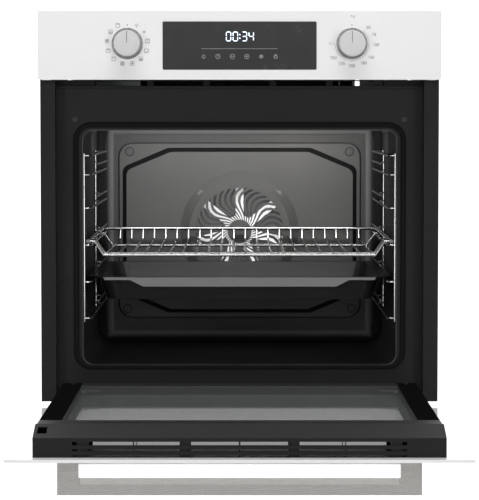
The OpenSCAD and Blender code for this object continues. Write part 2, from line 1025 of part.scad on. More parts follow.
// Profile along the free edge: vented edge, slope and flat
module door_top_profile() {
    blocks = [[-0.1, 1], [63.5, 76], [134, 135], [192, 206]];
    windows = [[1, 63.5], [76, 134], [135, 192]];
    slope = 38;
    ridge = 32.4;
    back = near_y + near_depth;
    t = profile_t;
    color("black")
    difference() {
        wide(-frame_w / 2, frame_w)
            polygon([[near_y, glass_top], [near_y, 20], [near_y + slope, ridge],
                [near_y + slope + 2, door_top], [back, door_top], [back, glass_top]]);
        difference() {
            wide(-frame_w / 2 + t, frame_w - 2 * t)
                polygon([[near_y + t, glass_top - 1], [near_y + t, 20 - 0.7], [near_y + slope, ridge - t],
                    [near_y + slope + 2, door_top - t], [back - t, door_top - t], [back - t, glass_top - 1]]);
            both_sides()
                for (b = blocks)
                    box([b[0], near_y, glass_top], [b[1], near_y + 12, 19.5]);
        }
        for (z = [[-4.3, -1.7], [3.3, 5.9], [10.8, 15.2]])
            box([-212, near_y - 1, z[0]], [212, near_y + t + 0.1, z[1]]);
        both_sides()
            for (b = windows)
                box([b[0], back - t - 1, glass_top - 1], [b[1], back + 1, 8]);
        box([-257.5, near_y + 12, 15], [-245.5, near_y + 30, 40]);
    }
}

module door_side_profiles() {
    x0 = frame_w / 2 - profile_w;
    x1 = frame_w / 2;
    t = profile_t;
    y0 = near_y + near_depth + 0.2;
    color("black")
    both_sides()
        difference() {
            box([x0, y0, glass_top], [x1, far_y + 1, door_top]);
            box([x0 + t, y0 - 1, glass_top - 1], [x1 - t, far_y + 2, door_top - t]);
            box([hinge_x - 3.5, -28, 20], [hinge_x + 3.5, 0, 40]);
        }
}

module door_bottom_profile() {
    t = profile_t;
    w = glass_w / 2 - 0.1;
    color("black")
    difference() {
        union() {
            box([-w, far_y - 10, glass_top], [w, far_y, door_top]);
            box([-w, far_y - far_depth, door_top - t], [w, far_y, door_top]);
        }
        box([-w + t, far_y - 10 + t, glass_top - 1], [w - t, far_y - t, door_top - t]);
        for (x = [-180 : 24 : 180])
            box([x - 8, far_y - 3, 4], [x + 8, far_y + 3, 8]);
    }
}

module door_pane(w, from, t) {
    y0 = near_y + near_depth + 0.3;
    y1 = far_y - far_depth - 0.3;
    box([-w, y0, from], [w, y1, from + t]);
}

module door_middle_glass() {
    color([0.6, 0.7, 0.7, 0.3])
    door_pane(glass_w / 2 - 0.4, 12.1, glass_t);
}

module door_inner_glass() {
    color([0.6, 0.7, 0.7, 0.3])
    door_pane(glass_w / 2 - 0.4, door_top - glass_t, glass_t);
}

// Outline of the handle: a bar whose top rises away from the hand, with posts above it
module handle_edge(from, to) {
    y0 = handle_y - handle_d / 2;
    y1 = handle_y + handle_d / 2;
    polygon([[y0, from[0]], [y1, from[1]], [y1, to[1]], [y0, to[0]]]);
}

module handle_bar() {
    low = glass_low - handle_out;
    color("silver")
    wide(-handle_l / 2, handle_l)
        handle_edge([low, low], [low + handle_t, low + handle_t + 4]);
}

module handle_posts() {
    low = glass_low - handle_out + handle_t;
    color("silver")
    both_sides()
        difference() {
            wide(handle_l / 2 - post_w, post_w)
                handle_edge([low, low + 4], [glass_low, glass_low]);
            translate([handle_l / 2 - post_w / 2, handle_y, low + 12])
                cylinder(r = 2.5, h = 40);
            box([handle_l / 2 - 4.3, handle_y - handle_d, low - 5],
                [handle_l / 2 - 3.9, handle_y - handle_d / 2 + 0.5, 0]);
        }
}

base_pan();
side_panel_left();
side_panel_right();
rear_panel();
rear_fan_housing();
top_cover();
duct_plate();
front_frame();
frame_screws();
cavity_muffle();
cavity_rear();
insulation();
door_gasket();
grill_element();
bottom_element();
ring_element();
fan_cover();
fan_cover_screws();
convection_fan();
convection_fan_nut();
convection_motor();
lamp_housing();
lamp_bulb();
lamp_lens();
oven_probe();
safety_cutout();
terminal_box();
blower_housing();
blower_rotor();
blower_motor();
rack_left();
rack_right();
wire_shelf();
baking_tray();
panel_fascia();
panel_bracket();
display_window();
display_board();
knob_bezels();
mode_switch();
mode_spindle();
mode_knob();
thermostat();
thermostat_spindle();
thermostat_knob();
hinge_receivers();
hinge_arms();
hinge_pins();
hinge_channels();
hinge_link_left();
hinge_link_right();
hinge_springs();
door_outer_glass();
door_top_profile();
door_side_profiles();
door_bottom_profile();
door_middle_glass();
door_inner_glass();
handle_bar();
handle_posts();
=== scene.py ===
"""Looks of the built-in wall oven: materials, small pieces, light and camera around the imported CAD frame."""

import json
import math

import bmesh
import bpy
from mathutils import Matrix, Vector


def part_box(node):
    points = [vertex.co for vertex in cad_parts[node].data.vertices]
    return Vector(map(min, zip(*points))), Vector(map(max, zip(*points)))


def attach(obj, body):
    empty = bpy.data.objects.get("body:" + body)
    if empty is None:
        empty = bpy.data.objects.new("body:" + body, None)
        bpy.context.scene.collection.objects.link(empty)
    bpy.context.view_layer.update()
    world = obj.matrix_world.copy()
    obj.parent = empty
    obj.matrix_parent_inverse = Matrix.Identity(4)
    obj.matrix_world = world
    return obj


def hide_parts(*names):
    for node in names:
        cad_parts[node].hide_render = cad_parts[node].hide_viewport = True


MM = 0.001
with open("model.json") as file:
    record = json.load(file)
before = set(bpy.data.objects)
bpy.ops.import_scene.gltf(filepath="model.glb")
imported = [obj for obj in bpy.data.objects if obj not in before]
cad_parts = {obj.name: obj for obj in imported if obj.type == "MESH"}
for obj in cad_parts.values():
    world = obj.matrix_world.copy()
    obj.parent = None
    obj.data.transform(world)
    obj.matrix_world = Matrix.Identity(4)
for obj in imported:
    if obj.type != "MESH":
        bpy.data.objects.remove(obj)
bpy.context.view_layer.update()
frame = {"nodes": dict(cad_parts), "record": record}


# ---------------------------------------------------------------- measures from the frame
def span(node):
    """Lowest and highest corner of a CAD node in millimetres."""
    low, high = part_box(node)
    return low / MM, high / MM


panel_low, panel_high = span("panel_fascia")
window_low, window_high = span("display_window")
knob_low, knob_high = span("thermostat_knob")
glass_low, glass_high = span("door_outer_glass")
inner_low, inner_high = span("door_inner_glass")
top_low, top_high = span("door_top_profile")
bar_low, bar_high = span("handle_bar")
gasket_low, gasket_high = span("door_gasket")
frame_low, frame_high = span("front_frame")
side_low, side_high = span("side_panel_right")
rear_low, rear_high = span("rear_panel")
cover_low, cover_high = span("fan_cover")
lens_low, lens_high = span("lamp_lens")

panel_y = panel_low.y
knob_x = (knob_low.x + knob_high.x) / 2
knob_z = (knob_low.z + knob_high.z) / 2
face_y = frame_high.y - 2
mouth_w, mouth_h = 470, 352


# ---------------------------------------------------------------- node helpers
def new_material(name):
    mat = bpy.data.materials.new(name)
    mat.use_nodes = True
    nodes = mat.node_tree.nodes
    return mat, nodes, mat.node_tree.links, nodes["Principled BSDF"]


def coords(nodes, links, stretch=(1, 1, 1)):
    """Object coordinates in metres, stretched by a factor on each axis."""
    place = nodes.new("ShaderNodeTexCoord")
    mapping = nodes.new("ShaderNodeMapping")
    mapping.inputs["Scale"].default_value = stretch
    links.new(place.outputs["Object"], mapping.inputs["Vector"])
    return mapping.outputs["Vector"]


def noise(nodes, links, vector, scale, detail=4.0, rough=0.55):
    tex = nodes.new("ShaderNodeTexNoise")
    tex.inputs["Scale"].default_value = scale
    tex.inputs["Detail"].default_value = detail
    tex.inputs["Roughness"].default_value = rough
    links.new(vector, tex.inputs["Vector"])
    return tex.outputs["Fac"]


def ramp(nodes, links, value, stops):
    """Colour ramp with (position, colour) stops."""
    node = nodes.new("ShaderNodeValToRGB")
    elements = node.color_ramp.elements
    while len(elements) < len(stops):
        elements.new(0.5)
    for element, (position, colour) in zip(elements, stops):
        element.position = position
        element.color = (*colour, 1)
    links.new(value, node.inputs["Fac"])
    return node.outputs["Color"]


def to_range(nodes, links, value, low, high):
    node = nodes.new("ShaderNodeMapRange")
    node.inputs["From Min"].default_value = 0.3
    node.inputs["From Max"].default_value = 0.7
    node.inputs["To Min"].default_value = low
    node.inputs["To Max"].default_value = high
    links.new(value, node.inputs["Value"])
    return node.outputs["Result"]


def bump(nodes, links, shader, height, strength, distance):
    node = nodes.new("ShaderNodeBump")
    node.inputs["Strength"].default_value = strength
    node.inputs["Distance"].default_value = distance
    links.new(height, node.inputs["Height"])
    links.new(node.outputs["Normal"], shader.inputs["Normal"])


def shade(colour, factor):
    return tuple(min(1.0, c * factor) for c in colour)


def finish_material(name, colour, rough, metal=0.0, spread=0.06, rough_spread=0.06, scale=30.0,
                    stretch=(1, 1, 1), grain=900.0, grain_height=0.00002, coat=0.0, grain_strength=0.25):
    """Surface with soft colour clouds, uneven roughness and a fine grain."""
    mat, nodes, links, shader = new_material(name)
    place = coords(nodes, links, stretch)
    clouds = noise(nodes, links, place, scale)
    links.new(ramp(nodes, links, clouds, [(0.35, shade(colour, 1 - spread)), (0.65, shade(colour, 1 + spread))]),
              shader.inputs["Base Color"])
    wear = noise(nodes, links, place, scale * 3.1, 6.0)
    links.new(to_range(nodes, links, wear, max(0.02, rough - rough_spread), rough + rough_spread),
              shader.inputs["Roughness"])
    shader.inputs["Metallic"].default_value = metal
    shader.inputs["Coat Weight"].default_value = coat
    shader.inputs["Coat Roughness"].default_value = 0.05
    fine = noise(nodes, links, place, grain, 3.0)
    bump(nodes, links, shader, fine, grain_strength, grain_height)
    return mat


def enamel(name, colour, speck, speck_share=0.05, rough=0.16, coat=0.5, shine=0.5):
    """Vitreous enamel: deep gloss, faint orange peel and fine light specks."""
    mat, nodes, links, shader = new_material(name)
    place = coords(nodes, links)
    dots = nodes.new("ShaderNodeTexVoronoi")
    dots.inputs["Scale"].default_value = 900.0
    links.new(place, dots.inputs["Vector"])
    clouds = noise(nodes, links, place, 14.0)
    specks = ramp(nodes, links, dots.outputs["Distance"], [(speck_share, speck), (speck_share + 0.12, colour)])
    mix = nodes.new("ShaderNodeMix")
    mix.data_type = "RGBA"
    links.new(clouds, mix.inputs[0])
    links.new(specks, mix.inputs[6])
    mix.inputs[7].default_value = (*shade(colour, 1.15), 1)
    links.new(mix.outputs[2], shader.inputs["Base Color"])
    links.new(to_range(nodes, links, noise(nodes, links, place, 60.0, 5.0), rough - 0.02, rough + 0.02),
              shader.inputs["Roughness"])
    shader.inputs["Coat Weight"].default_value = coat
    shader.inputs["Coat Roughness"].default_value = 0.06
    shader.inputs["Specular IOR Level"].default_value = shine
    bump(nodes, links, shader, noise(nodes, links, place, 170.0, 2.0), 0.06, 0.00005)
    return mat


def brushed(name, colour, rough, along):
    """Brushed metal whose lines run along one axis (0, 1 or 2)."""
    stretch = [900.0, 900.0, 900.0]
    stretch[along] = 12.0
    mat, nodes, links, shader = new_material(name)
    place = coords(nodes, links, tuple(stretch))
    lines = noise(nodes, links, place, 4.0, 2.0, 0.5)
    links.new(ramp(nodes, links, lines, [(0.3, shade(colour, 0.97)), (0.7, shade(colour, 1.03))]),
              shader.inputs["Base Color"])
    links.new(to_range(nodes, links, lines, rough - 0.02, rough + 0.02), shader.inputs["Roughness"])
    shader.inputs["Metallic"].default_value = 1.0
    bump(nodes, links, shader, lines, 0.05, 0.000004)
    return mat


def clear_glass(name, tint, alpha, rough=0.03):
    """Tinted pane: mostly see-through, with a faint film that makes its gloss uneven."""
    mat, nodes, links, shader = new_material(name)
    place = coords(nodes, links)
    film = noise(nodes, links, place, 9.0, 5.0)
    links.new(ramp(nodes, links, film, [(0.3, shade(tint, 0.9)), (0.7, tint)]), shader.inputs["Base Color"])
    links.new(to_range(nodes, links, film, rough, rough + 0.03), shader.inputs["Roughness"])
    shader.inputs["Alpha"].default_value = alpha
    shader.inputs["Specular IOR Level"].default_value = 0.8
    return mat


def mineral_wool(name):
    mat, nodes, links, shader = new_material(name)
    place = coords(nodes, links, (1, 1, 3))
    fibre = noise(nodes, links, place, 220.0, 10.0, 0.75)
    links.new(ramp(nodes, links, fibre, [(0.3, (0.36, 0.31, 0.17)), (0.7, (0.72, 0.66, 0.45))]),
              shader.inputs["Base Color"])
    shader.inputs["Roughness"].default_value = 0.95
    bump(nodes, links, shader, fibre, 0.9, 0.002)
    return mat


def woven_seal(name):
    """Black seal with a fine plaited pattern."""
    mat, nodes, links, shader = new_material(name)
    place = coords(nodes, links)
    waves = []
    for turn in (45, -45):
        spin = nodes.new("ShaderNodeMapping")
        spin.inputs["Rotation"].default_value = (0, math.radians(turn), 0)
        links.new(place, spin.inputs["Vector"])
        wave = nodes.new("ShaderNodeTexWave")
        wave.inputs["Scale"].default_value = 160.0
        wave.inputs["Distortion"].default_value = 0.4
        links.new(spin.outputs["Vector"], wave.inputs["Vector"])
        waves.append(wave.outputs["Fac"])
    plait = nodes.new("ShaderNodeMath")
    plait.operation = "MULTIPLY"
    links.new(waves[0], plait.inputs[0])
    links.new(waves[1], plait.inputs[1])
    links.new(ramp(nodes, links, plait.outputs[0], [(0.1, (0.004, 0.004, 0.004)), (0.8, (0.011, 0.011, 0.011))]),
              shader.inputs["Base Color"])
    shader.inputs["Roughness"].default_value = 0.8
    shader.inputs["Specular IOR Level"].default_value = 0.1
    bump(nodes, links, shader, plait.outputs[0], 0.6, 0.0004)
    return mat


def glowing(name, colour, strength):
    mat, nodes, links, shader = new_material(name)
    place = coords(nodes, links)
    links.new(ramp(nodes, links, noise(nodes, links, place, 80.0), [(0.3, shade(colour, 0.85)), (0.7, colour)]),
              shader.inputs["Base Color"])
    shader.inputs["Emission Color"].default_value = (*colour, 1)
    shader.inputs["Emission Strength"].default_value = strength
    shader.inputs["Roughness"].default_value = 0.4
    return mat


def board(name):
    """Green circuit board with paler tracks."""
    mat, nodes, links, shader = new_material(name)
    place = coords(nodes, links)
    tracks = nodes.new("ShaderNodeTexBrick")
    tracks.inputs["Scale"].default_value = 90.0
    tracks.inputs["Color1"].default_value = (0.01, 0.09, 0.03, 1)
    tracks.inputs["Color2"].default_value = (0.015, 0.13, 0.04, 1)
    tracks.inputs["Mortar"].default_value = (0.05, 0.28, 0.09, 1)
    links.new(place, tracks.inputs["Vector"])
    links.new(tracks.outputs["Color"], shader.inputs["Base Color"])
    shader.inputs["Roughness"].default_value = 0.35
    bump(nodes, links, shader, noise(nodes, links, place, 300.0), 0.2, 0.0001)
    return mat


def normal_part(nodes, links, axis):
    """One component of the surface normal in the object's own axes."""
    place = nodes.new("ShaderNodeTexCoord")
    split = nodes.new("ShaderNodeSeparateXYZ")
    links.new(place.outputs["Normal"], split.inputs["Vector"])
    return split.outputs[axis]


def blended(nodes, links, factor, a, b):
    mix = nodes.new("ShaderNodeMix")
    mix.data_type = "RGBA"
    links.new(factor, mix.inputs[0])
    links.new(a, mix.inputs[6])
    links.new(b, mix.inputs[7])
    return mix.outputs[2]


def enamel_with_painted_slope_shade(name, flat, painted_shade_colour, rough, steep=0.9):
    """Enamel with painted shade: faces that turn away from the front, the pressed slopes, get a darker colour; front
    faces keep the flat colour.
    """
    mat = enamel(name, flat, shade(flat, 1.3), 0.05, rough, 0.0, 0.25)
    nodes, links = mat.node_tree.nodes, mat.node_tree.links
    shader = nodes["Principled BSDF"]
    source = shader.inputs["Base Color"].links[0].from_socket
    turn = nodes.new("ShaderNodeMath")
    turn.operation = "ABSOLUTE"
    links.new(normal_part(nodes, links, "Y"), turn.inputs[0])
    keep = ramp(nodes, links, turn.outputs[0], [(steep - 0.15, (0, 0, 0)), (0.985, (1, 1, 1))])
    # painted shade: this darker colour stands in for the shade on the pressed slopes
    dark = ramp(nodes, links, noise(nodes, links, coords(nodes, links), 20.0),
                [(0.3, shade(painted_shade_colour, 0.9)), (0.7, shade(painted_shade_colour, 1.1))])
    links.new(blended(nodes, links, keep, dark, source), shader.inputs["Base Color"])
    return mat


def rear_wall_with_painted_light(name):
    """Rear pressing: painted shade on the fillet, a painted highlight along the line where it bends, grey on the
    flat.
    """
    mat, nodes, links, shader = new_material(name)
    place = coords(nodes, links)
    split = nodes.new("ShaderNodeSeparateXYZ")
    links.new(place, split.inputs["Vector"])
    parts = []
    for axis, middle, half in (("X", 0.0, 0.214), ("Z", 0.228, 0.168)):
        shift = nodes.new("ShaderNodeMath")
        shift.operation = "SUBTRACT"
        links.new(split.outputs[axis], shift.inputs[0])
        shift.inputs[1].default_value = middle
        size = nodes.new("ShaderNodeMath")
        size.operation = "ABSOLUTE"
        links.new(shift.outputs[0], size.inputs[0])
        past = nodes.new("ShaderNodeMath")
        past.operation = "SUBTRACT"
        links.new(size.outputs[0], past.inputs[0])
        past.inputs[1].default_value = half
        parts.append(past.outputs[0])
    reach = nodes.new("ShaderNodeMath")
    reach.operation = "MAXIMUM"
    links.new(parts[0], reach.inputs[0])
    links.new(parts[1], reach.inputs[1])
    scaled = nodes.new("ShaderNodeMapRange")
    scaled.inputs["From Min"].default_value = -0.026
    scaled.inputs["From Max"].default_value = 0.026
    links.new(reach.outputs[0], scaled.inputs["Value"])
    # painted light: the pale band is a painted highlight where the fillet bends, the near-black beyond it is painted
    # shade on the fillet
    fillet_highlight_and_shade = ramp(nodes, links, scaled.outputs["Result"],
                 [(0.46, (0.1, 0.099, 0.098)), (0.53, (0.2, 0.2, 0.198)), (0.62, (0.12, 0.12, 0.118)),
                  (0.7, (0.014, 0.014, 0.014))])
    fine = ramp(nodes, links, noise(nodes, links, place, 500.0), [(0.3, (0.92, 0.92, 0.92)), (0.7, (1, 1, 1))])
    mix = nodes.new("ShaderNodeMix")
    mix.data_type = "RGBA"
    mix.blend_type = "MULTIPLY"
    mix.inputs[0].default_value = 1.0
    links.new(fillet_highlight_and_shade, mix.inputs[6])
    links.new(fine, mix.inputs[7])
    links.new(mix.outputs[2], shader.inputs["Base Color"])
    links.new(to_range(nodes, links, noise(nodes, links, place, 60.0), 0.48, 0.54), shader.inputs["Roughness"])
    shader.inputs["Specular IOR Level"].default_value = 0.15
    bump(nodes, links, shader, noise(nodes, links, place, 170.0, 2.0), 0.06, 0.00005)
    return mat


def tray_enamel_with_painted_highlight(name):
    """Black enamel with a painted highlight on the upright faces that turn to the front: the lip most, the far wall
    less.
    """
    mat = enamel(name, (0.010, 0.010, 0.011), (0.02, 0.02, 0.021), 0.04, 0.36, 0.0, 0.2)
    nodes, links = mat.node_tree.nodes, mat.node_tree.links
    shader = nodes["Principled BSDF"]
    source = shader.inputs["Base Color"].links[0].from_socket
    lean = nodes.new("ShaderNodeMapRange")
    lean.inputs["From Min"].default_value = -1.0
    lean.inputs["From Max"].default_value = 1.0
    links.new(normal_part(nodes, links, "Z"), lean.inputs["Value"])
    # painted highlight: a paler colour on front-facing upright faces in place of the light they catch
    pale = ramp(nodes, links, lean.outputs["Result"],
                [(0.4, (0.008, 0.008, 0.008)), (0.47, (0.2, 0.2, 0.2)), (0.53, (0.2, 0.2, 0.2)),
                 (0.58, (0.11, 0.11, 0.11))])
    front = nodes.new("ShaderNodeMath")
    front.operation = "MULTIPLY"
    links.new(normal_part(nodes, links, "Y"), front.inputs[0])
    front.inputs[1].default_value = -1.0
    facing_front = ramp(nodes, links, front.outputs[0], [(0.85, (0, 0, 0)), (0.93, (1, 1, 1))])
    links.new(blended(nodes, links, facing_front, source, pale), shader.inputs["Base Color"])
    return mat


MATERIALS = {
    "galvanised": finish_material("zinc_sheet", (0.56, 0.57, 0.58), 0.38, 0.85, 0.12, 0.1, 45.0, grain=260.0,
                                  grain_height=0.00004),
    "black_enamel": enamel("front_enamel", (0.0145, 0.0145, 0.0148), (0.019, 0.019, 0.0195), 0.03, 0.42, 0.0, 0.12),
    "cavity_enamel": enamel("cavity_enamel", (0.036, 0.036, 0.036), (0.052, 0.052, 0.053), 0.04, 0.55, 0.0, 0.2),
    "cover_enamel": enamel_with_painted_slope_shade("cover_enamel", (0.12, 0.119, 0.117), (0.016, 0.016, 0.016), 0.5),
    "dark_screws": finish_material("dark_screws", (0.012, 0.012, 0.012), 0.6, 0.0, 0.12, 0.08, 300.0),
    "tray_enamel": tray_enamel_with_painted_highlight("tray_enamel"),
    "mineral_wool": mineral_wool("mineral_wool"),
    "seal_rubber": woven_seal("plaited_seal"),
    "element_steel": finish_material("heat_tinted_steel", (0.2, 0.18, 0.16), 0.4, 0.9, 0.25, 0.1, 18.0),
    "screw_steel": finish_material("screw_steel", (0.55, 0.55, 0.56), 0.28, 1.0, 0.1, 0.08, 300.0),
    "fan_steel": finish_material("fan_sheet", (0.9, 0.9, 0.9), 0.5, 0.15, 0.03, 0.06, 120.0),
    "motor_iron": finish_material("motor_iron", (0.06, 0.06, 0.065), 0.5, 0.4, 0.2, 0.1, 200.0, (1, 1, 12)),
    "lamp_white": glowing("lamp_bulb", (1.0, 0.86, 0.66), 9.0),
    "lamp_glass": clear_glass("lamp_glass", (0.9, 0.92, 0.92), 0.35, 0.06),
    "tan_plastic": finish_material("tan_resin", (0.42, 0.3, 0.18), 0.55, 0.0, 0.1, 0.08, 90.0),
    "black_plastic": finish_material("black_plastic", (0.02, 0.02, 0.021), 0.5, 0.0, 0.15, 0.08, 60.0,
                                     grain=1400.0, grain_height=0.00005),
    "chrome_wire": finish_material("chrome_wire", (0.62, 0.62, 0.62), 0.16, 1.0, 0.04, 0.05, 50.0),
    "white_glass": finish_material("white_glass", (0.8, 0.8, 0.796), 0.1, 0.0, 0.01, 0.02, 6.0, coat=0.6,
                                   grain_height=0.000004, grain_strength=0.08),
    "display_glass": finish_material("display_glass", (0.024, 0.024, 0.0255), 0.25, 0.0, 0.06, 0.03, 12.0,
                                     grain_height=0.000003, grain_strength=0.08),
    "board_green": board("circuit_board"),
    "bezel_steel": finish_material("bezel_ring", (0.62, 0.62, 0.63), 0.2, 1.0, 0.05, 0.05, 90.0),
    "knob_silver": brushed("knob_silver", (0.66, 0.66, 0.66), 0.34, 0),
    "switch_body": finish_material("switch_body", (0.72, 0.7, 0.62), 0.45, 0.0, 0.05, 0.06, 80.0),
    "hinge_steel": finish_material("hinge_steel", (0.34, 0.34, 0.35), 0.34, 1.0, 0.12, 0.1, 80.0),
    "spring_steel": finish_material("spring_steel", (0.3, 0.3, 0.31), 0.3, 1.0, 0.1, 0.08, 120.0),
    "door_glass": clear_glass("door_pane", (0.3, 0.32, 0.31), 0.1),
    "handle_steel": brushed("handle_steel", (0.60, 0.58, 0.56), 0.27, 0),
}
rear_wall_painted_light_look = rear_wall_with_painted_light("rear_wall_with_painted_light")
# near-black finish of the door side profiles, also used as painted shade behind the vents
profile_black_and_vent_shade = finish_material("profile_black_and_vent_shade", (0.0035, 0.0035, 0.0036), 0.6, 0.0, 0.1, 0.03, 90.0)
profile_black_and_vent_shade.node_tree.nodes["Principled BSDF"].inputs["Specular IOR Level"].default_value = 0.0
cover_screw_grey = finish_material("cover_screw_grey", (0.1, 0.1, 0.1), 0.5, 0.0, 0.1, 0.05, 300.0)
# painted shade: blower_housing and blower_motor behind the vents take the near-black finish for the shade seen
# through the vents
NODE_LOOKS = {"cavity_rear": rear_wall_painted_light_look, "door_side_profiles": profile_black_and_vent_shade, "blower_housing": profile_black_and_vent_shade,
              "blower_motor": profile_black_and_vent_shade, "fan_cover_screws": cover_screw_grey}
printed_grey = finish_material("printed_grey", (0.035, 0.04, 0.05), 0.5, 0.0, 0.08, 0.05, 400.0)
printed_dim = finish_material("touch_sign_print", (0.42, 0.44, 0.46), 0.5, 0.0, 0.08, 0.05, 400.0)
pointer_black = finish_material("pointer_black", (0.16, 0.16, 0.165), 0.4, 0.0, 0.1, 0.05, 300.0)
lit_digits = glowing("lit_digits", (0.75, 0.86, 1.0), 1.6)
embossed = enamel("embossed_enamel", (0.006, 0.006, 0.006), (0.012, 0.012, 0.012), 0.04, 0.4, 0.0, 0.1)
# painted shadow: near-black for the shade in the pressed catch arch and in the grooves round the screws
painted_groove_shadow_black = finish_material("painted_groove_shadow_black", (0.004, 0.004, 0.004), 0.7, 0.0, 0.1, 0.03, 300.0)
# painted highlight: a pale grey line for the light caught by the enamel edge of the mouth
rim_highlight_grey = finish_material("rim_highlight_grey", (0.09, 0.09, 0.09), 0.4, 0.0, 0.1, 0.05, 200.0)
# painted shade: pale grey sheet colour for the band of shade under the door glass
shade_strip_grey = finish_material("shade_strip_grey", (0.68, 0.68, 0.68), 0.5, 0.0, 0.02, 0.04, 40.0)
label_film = finish_material("blank_label", (0.7, 0.71, 0.72), 0.35, 0.3, 0.03, 0.05, 40.0)


# ---------------------------------------------------------------- dressing the CAD nodes
def bevelled(obj, width, segments=2):
    """Softens a CAD node's edges with a modifier; its own mesh stays as it is."""
    mod = obj.modifiers.new("edge", "BEVEL")
    mod.width = width * MM
    mod.segments = segments
    mod.limit_method = "ANGLE"
    mod.angle_limit = math.radians(40)
    mod.harden_normals = False


def dress_cad():
    for part in frame["record"]["subparts"]:
        obj = frame["nodes"][part["node"]]
        obj.data.materials.clear()
        obj.data.materials.append(NODE_LOOKS.get(part["node"], MATERIALS[part["material_slot"]]))


EDGE_WIDTHS = {
    "door_outer_glass": 0.5, "panel_fascia": 0.4, "display_window": 0.15, "handle_bar": 0.5,
    "handle_posts": 0.4, "mode_knob": 0.4, "thermostat_knob": 0.4, "knob_bezels": 0.5,
    "terminal_box": 0.8, "rear_fan_housing": 0.6, "lamp_lens": 0.8,
}


# ---------------------------------------------------------------- mesh helpers
def add_object(name, mesh, mat, body):
    obj = bpy.data.objects.new(name, mesh)
    bpy.context.scene.collection.objects.link(obj)
    mesh.materials.clear()
    mesh.materials.append(mat)
    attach(obj, body)
    return obj


def smooth(mesh, angle=35):
    mesh.shade_smooth()
    mesh.set_sharp_from_angle(angle=math.radians(angle))


def arc(cx, cz, r, start, end, steps=12, squash=1.0):
    """Points on an arc, angles in degrees anticlockwise from +x."""
    return [(cx + r * math.cos(math.radians(start + (end - start) * i / steps)),
             cz + r * squash * math.sin(math.radians(start + (end - start) * i / steps)))
            for i in range(steps + 1)]


def rounded_outline(w, h, r, steps=6):
    """Closed outline of a centred rectangle with round corners."""
    points = []
    for cx, cz, a in ((w / 2 - r, h / 2 - r, 0), (-w / 2 + r, h / 2 - r, 90),
                      (-w / 2 + r, -h / 2 + r, 180), (w / 2 - r, -h / 2 + r, 270)):
        points += arc(cx, cz, r, a, a + 90, steps)
    return points


def curve_mesh(name, lines, closed, width, flat_axis=None, flat=1.0):
    """Mesh of round strokes along lines of 3-D points in millimetres."""
    curve = bpy.data.curves.new(name, "CURVE")
    curve.dimensions = "3D"
    curve.bevel_depth = width / 2 * MM
    curve.bevel_resolution = 2
    curve.use_fill_caps = True
    for line, loop in zip(lines, closed):
        spline = curve.splines.new("POLY")
        spline.points.add(len(line) - 1)
        for point, place in zip(spline.points, line):
            point.co = (*(Vector(place) * MM), 1)
        spline.use_cyclic_u = loop
    holder = bpy.data.objects.new(name, curve)
    bpy.context.scene.collection.objects.link(holder)
    bpy.context.view_layer.update()
    mesh = bpy.data.meshes.new_from_object(holder.evaluated_get(bpy.context.evaluated_depsgraph_get()))
    bpy.data.objects.remove(holder)
    if flat_axis is not None:
        middle = Vector(lines[0][0])[flat_axis] * MM
        for v in mesh.vertices:
            v.co[flat_axis] = middle + (v.co[flat_axis] - middle) * flat
    mesh.shade_smooth()
    return mesh


def printed(name, strokes, width, y, mat, body="carcass"):
    """Thin raised print on a plane that faces the front. Strokes are (points, closed) in x and z."""
    lines = [[(x, y, z) for x, z in points] for points, _ in strokes]
    mesh = curve_mesh(name, lines, [c for _, c in strokes], width, 1, 0.35)
    return add_object(name, mesh, mat, body)


def plate_mesh(name, outline, holes, thick, bevel):
    """Flat plate with holes, drawn in x-y and centred on z, from closed outlines in millimetres."""
    curve = bpy.data.curves.new(name, "CURVE")
    curve.dimensions = "2D"
    curve.fill_mode = "BOTH"
    curve.extrude = (thick / 2 - bevel) * MM
    curve.bevel_depth = bevel * MM
    curve.bevel_resolution = 1
    curve.offset = -bevel * MM
    for ring in [outline] + holes:
        spline = curve.splines.new("POLY")
        spline.points.add(len(ring) - 1)
        for point, (x, y) in zip(spline.points, ring):
            point.co = (x * MM, y * MM, 0, 1)
        spline.use_cyclic_u = True
    holder = bpy.data.objects.new(name, curve)
    bpy.context.scene.collection.objects.link(holder)
    bpy.context.view_layer.update()
    mesh = bpy.data.meshes.new_from_object(holder.evaluated_get(bpy.context.evaluated_depsgraph_get()))
    bpy.data.objects.remove(holder)
    return mesh


def joined(name, parts):
    """One mesh from (mesh, matrix) pairs."""
    bm = bmesh.new()
    for mesh, matrix in parts:
        copy = mesh.copy()
        copy.transform(matrix)
        bm.from_mesh(copy)
        bpy.data.meshes.remove(copy)
    mesh = bpy.data.meshes.new(name)
    bm.to_mesh(mesh)
    bm.free()
    return mesh


def lathe(name, profile, steps=32):
    """Closed turned shape about +z from (radius, height) pairs in millimetres, starting and ending on the axis."""
    bm = bmesh.new()
    rings = []
    for r, z in profile:
        if r == 0:
            rings.append([bm.verts.new((0, 0, z * MM))])
        else:
            rings.append([bm.verts.new((r * MM * math.cos(2 * math.pi * i / steps),
                                        r * MM * math.sin(2 * math.pi * i / steps), z * MM))
                          for i in range(steps)])
    for a, b in zip(rings, rings[1:]):
        for i in range(steps):
            j = (i + 1) % steps
            corners = [a[i % len(a)], a[j % len(a)], b[j % len(b)], b[i % len(b)]]
            unique = list(dict.fromkeys(corners))
            if len(unique) > 2:
                bm.faces.new(unique)
    bmesh.ops.recalc_face_normals(bm, faces=bm.faces)
    mesh = bpy.data.meshes.new(name)
    bm.to_mesh(mesh)
    bm.free()
    smooth(mesh)
    return mesh


def facing(direction):
    """Rotation that takes +z to the given direction."""
    return Vector((0, 0, 1)).rotation_difference(Vector(direction)).to_matrix().to_4x4()


def placed(x, y, z, direction):
    return Matrix.Translation(Vector((x, y, z)) * MM) @ facing(direction)


